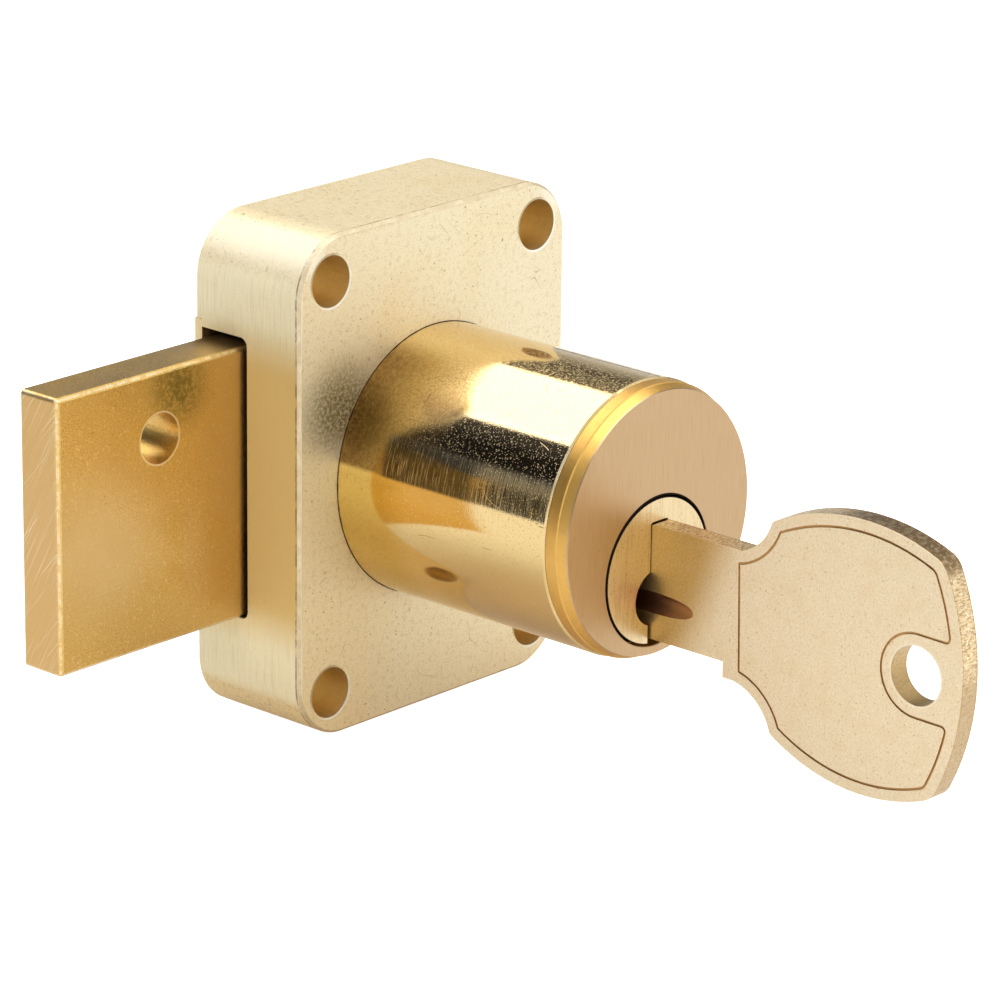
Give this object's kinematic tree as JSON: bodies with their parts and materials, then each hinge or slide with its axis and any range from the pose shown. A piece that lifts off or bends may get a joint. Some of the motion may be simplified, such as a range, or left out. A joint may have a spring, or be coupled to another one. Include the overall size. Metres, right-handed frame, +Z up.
{
  "type": "rim door lock",
  "caption": "Brass rim door lock for a cabinet: screw-on case, sliding dead bolt, pin-tumbler cylinder turned by a flat key, crank behind the plug.",
  "frame": {"origin": "on the cylinder's axis in the plane of the case's front face, which lies against the back of the door; also the centre of the four mounting holes", "axes": "+X right seen from the key's side (the bolt slides out towards -X), +Y back from the door into the case (the cylinder and key stand out towards -Y), +Z up"},
  "size_m": [0.0506, 0.0659, 0.0412],
  "materials": {
    "case_brass": "satin, fine pits",
    "plate_brass": "satin, rolled",
    "screw_brass": "turned",
    "polished_brass": "mirror polished",
    "head_brass": "face brushed, rim turned",
    "plug_brass": "face brushed",
    "inner_brass": "stamped",
    "pin_steel": "turned",
    "bolt_brass": "rolled bar, satin, light scratches",
    "key_brass": "tumbled matte",
    "tumbler_brass": "turned",
    "spring_steel": "drawn wire"
  },
  "bodies": {
    "lock_case": {"case": "case_brass", "cover_plate": "plate_brass", "cover_screws": "screw_brass", "cylinder_sleeve": "polished_brass", "cylinder_shell": "head_brass", "cylinder_screws": "screw_brass", "pin_spring_1": "spring_steel", "pin_spring_2": "spring_steel", "pin_spring_3": "spring_steel", "pin_spring_4": "spring_steel", "pin_spring_5": "spring_steel"},
    "plug": {"plug": "plug_brass", "crank": "inner_brass", "crank_pin": "pin_steel", "plug_screw": "screw_brass"},
    "bolt": {"bolt": "bolt_brass"},
    "key": {"key": "key_brass"},
    "bottom_pin_1": {"bottom_pin_1": "tumbler_brass"},
    "driver_pin_1": {"driver_pin_1": "tumbler_brass"},
    "bottom_pin_2": {"bottom_pin_2": "tumbler_brass"},
    "driver_pin_2": {"driver_pin_2": "tumbler_brass"},
    "bottom_pin_3": {"bottom_pin_3": "tumbler_brass"},
    "driver_pin_3": {"driver_pin_3": "tumbler_brass"},
    "bottom_pin_4": {"bottom_pin_4": "tumbler_brass"},
    "driver_pin_4": {"driver_pin_4": "tumbler_brass"},
    "bottom_pin_5": {"bottom_pin_5": "tumbler_brass"},
    "driver_pin_5": {"driver_pin_5": "tumbler_brass"}
  },
  "joints": [
    {"name": "plug_turn", "type": "hinge", "parent": "lock_case", "child": "plug", "pos_m": [0, 0, -0.00388], "axis": [0, 1, 0], "range_deg": [0, 90]},
    {"name": "bolt_slide", "type": "slide", "parent": "lock_case", "child": "bolt", "axis": [1, 0, 0], "range_m": [0, 0.0127]},
    {"name": "key_slide", "type": "slide", "parent": "plug", "child": "key", "axis": [0, -1, 0], "range_m": [-0.0073, 0.0177]},
    {"name": "bottom_pin_1_lift", "type": "slide", "parent": "plug", "child": "bottom_pin_1", "axis": [0, 0, 1], "range_m": [-0.0018, 0.00074]},
    {"name": "bottom_pin_2_lift", "type": "slide", "parent": "plug", "child": "bottom_pin_2", "axis": [0, 0, 1], "range_m": [-0.0018, 0.00074]},
    {"name": "bottom_pin_3_lift", "type": "slide", "parent": "plug", "child": "bottom_pin_3", "axis": [0, 0, 1], "range_m": [-0.0018, 0.00074]},
    {"name": "bottom_pin_4_lift", "type": "slide", "parent": "plug", "child": "bottom_pin_4", "axis": [0, 0, 1], "range_m": [-0.0018, 0.00074]},
    {"name": "bottom_pin_5_lift", "type": "slide", "parent": "plug", "child": "bottom_pin_5", "axis": [0, 0, 1], "range_m": [-0.0018, 0.00074]},
    {"name": "driver_pin_1_lift", "type": "slide", "parent": "lock_case", "child": "driver_pin_1", "axis": [0, 0, 1], "range_m": [0, 0.0014], "stiffness_N_per_m": 60, "springref_m": -0.002, "deforming": ["pin_spring_1"]},
    {"name": "driver_pin_2_lift", "type": "slide", "parent": "lock_case", "child": "driver_pin_2", "axis": [0, 0, 1], "range_m": [0, 0.0014], "stiffness_N_per_m": 60, "springref_m": -0.002, "deforming": ["pin_spring_2"]},
    {"name": "driver_pin_3_lift", "type": "slide", "parent": "lock_case", "child": "driver_pin_3", "axis": [0, 0, 1], "range_m": [0, 0.0014], "stiffness_N_per_m": 60, "springref_m": -0.002, "deforming": ["pin_spring_3"]},
    {"name": "driver_pin_4_lift", "type": "slide", "parent": "lock_case", "child": "driver_pin_4", "axis": [0, 0, 1], "range_m": [0, 0.0014], "stiffness_N_per_m": 60, "springref_m": -0.002, "deforming": ["pin_spring_4"]},
    {"name": "driver_pin_5_lift", "type": "slide", "parent": "lock_case", "child": "driver_pin_5", "axis": [0, 0, 1], "range_m": [0, 0.0014], "stiffness_N_per_m": 60, "springref_m": -0.002, "deforming": ["pin_spring_5"]}
  ],
  "couplings": [
    {"joint": "plug_turn", "follows": "bolt_slide", "rad_per_m": 123.68},
    {"joint": "bottom_pin_1_lift", "follows": "key_slide", "ratio": -0.1},
    {"joint": "bottom_pin_2_lift", "follows": "key_slide", "ratio": -0.1},
    {"joint": "bottom_pin_3_lift", "follows": "key_slide", "ratio": -0.1},
    {"joint": "bottom_pin_4_lift", "follows": "key_slide", "ratio": -0.1},
    {"joint": "bottom_pin_5_lift", "follows": "key_slide", "ratio": -0.1}
  ]
}
